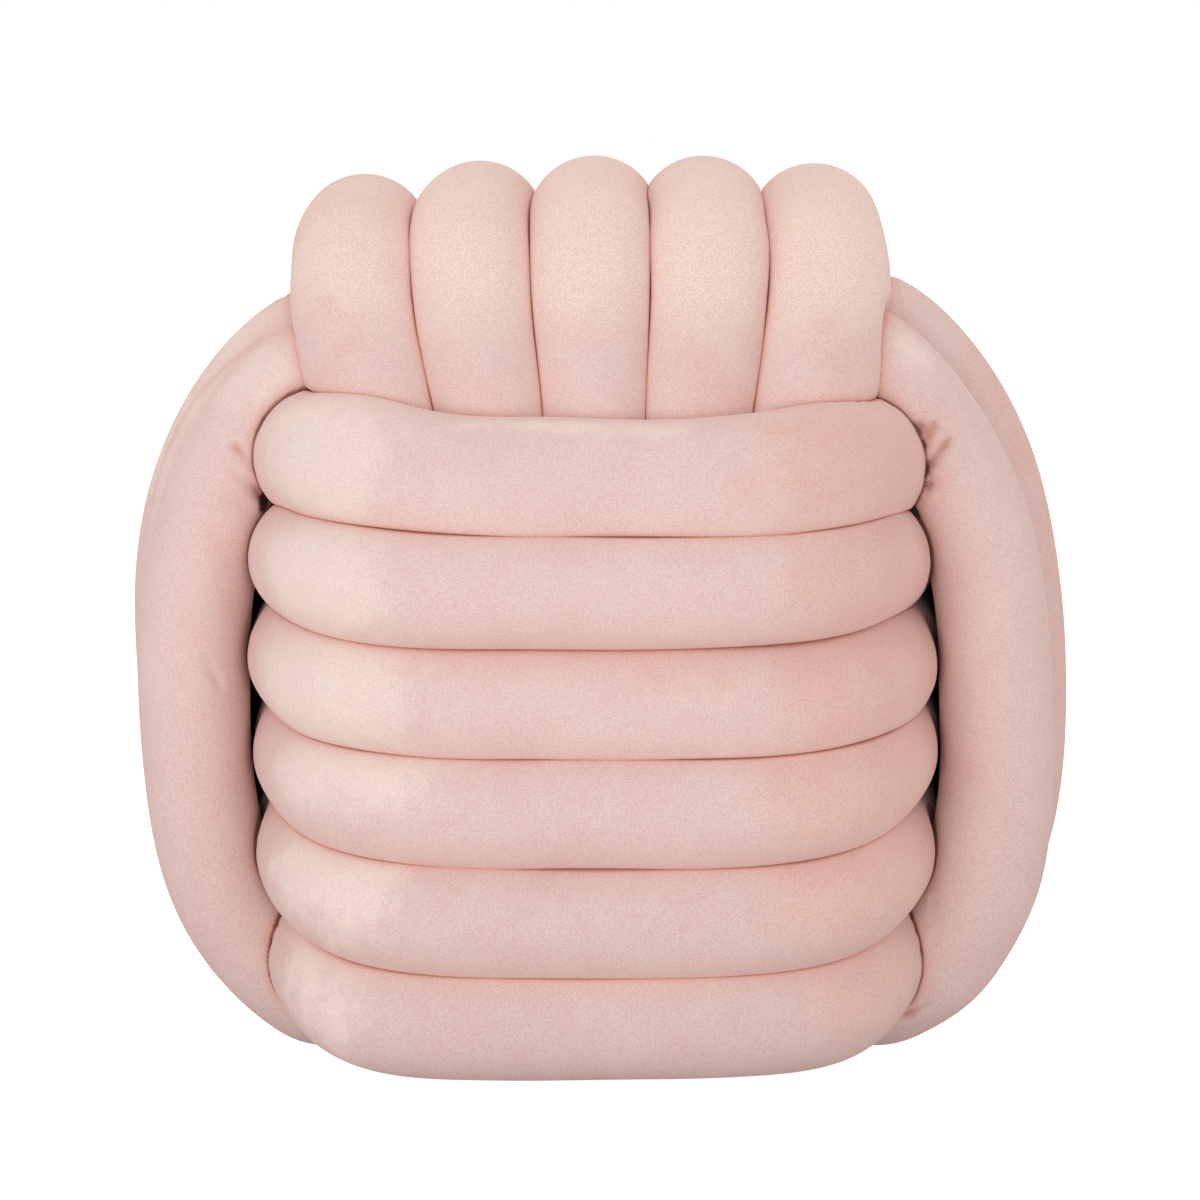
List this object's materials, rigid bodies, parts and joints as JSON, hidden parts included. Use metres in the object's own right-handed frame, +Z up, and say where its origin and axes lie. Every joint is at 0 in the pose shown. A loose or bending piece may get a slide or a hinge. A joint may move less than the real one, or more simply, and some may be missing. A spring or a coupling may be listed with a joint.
{
  "type": "woven velvet pouf",
  "caption": "Soft pouf of stuffed velvet tubes closed into rings and woven through one another in three bands, used as a low seat or footrest.",
  "frame": {"origin": "centre of the footprint, on the surface the pouf stands on", "axes": "+Z up; -Y is the front, which shows the level rings; +X is to the right as seen from the front"},
  "size_m": [0.4806, 0.4924, 0.4664],
  "materials": {
    "velvet": "short pale pink pile, matt with a soft sheen"
  },
  "bodies": {
    "root": {"top_ring_1": "velvet", "top_ring_2": "velvet", "top_ring_3": "velvet", "top_ring_4": "velvet", "top_ring_5": "velvet", "side_ring_1": "velvet", "side_ring_2": "velvet", "side_ring_3": "velvet", "side_ring_4": "velvet", "side_ring_5": "velvet", "front_ring_1": "velvet", "front_ring_2": "velvet", "front_ring_3": "velvet", "front_ring_4": "velvet", "front_ring_5": "velvet", "front_ring_6": "velvet"}
  },
  "joints": []
}
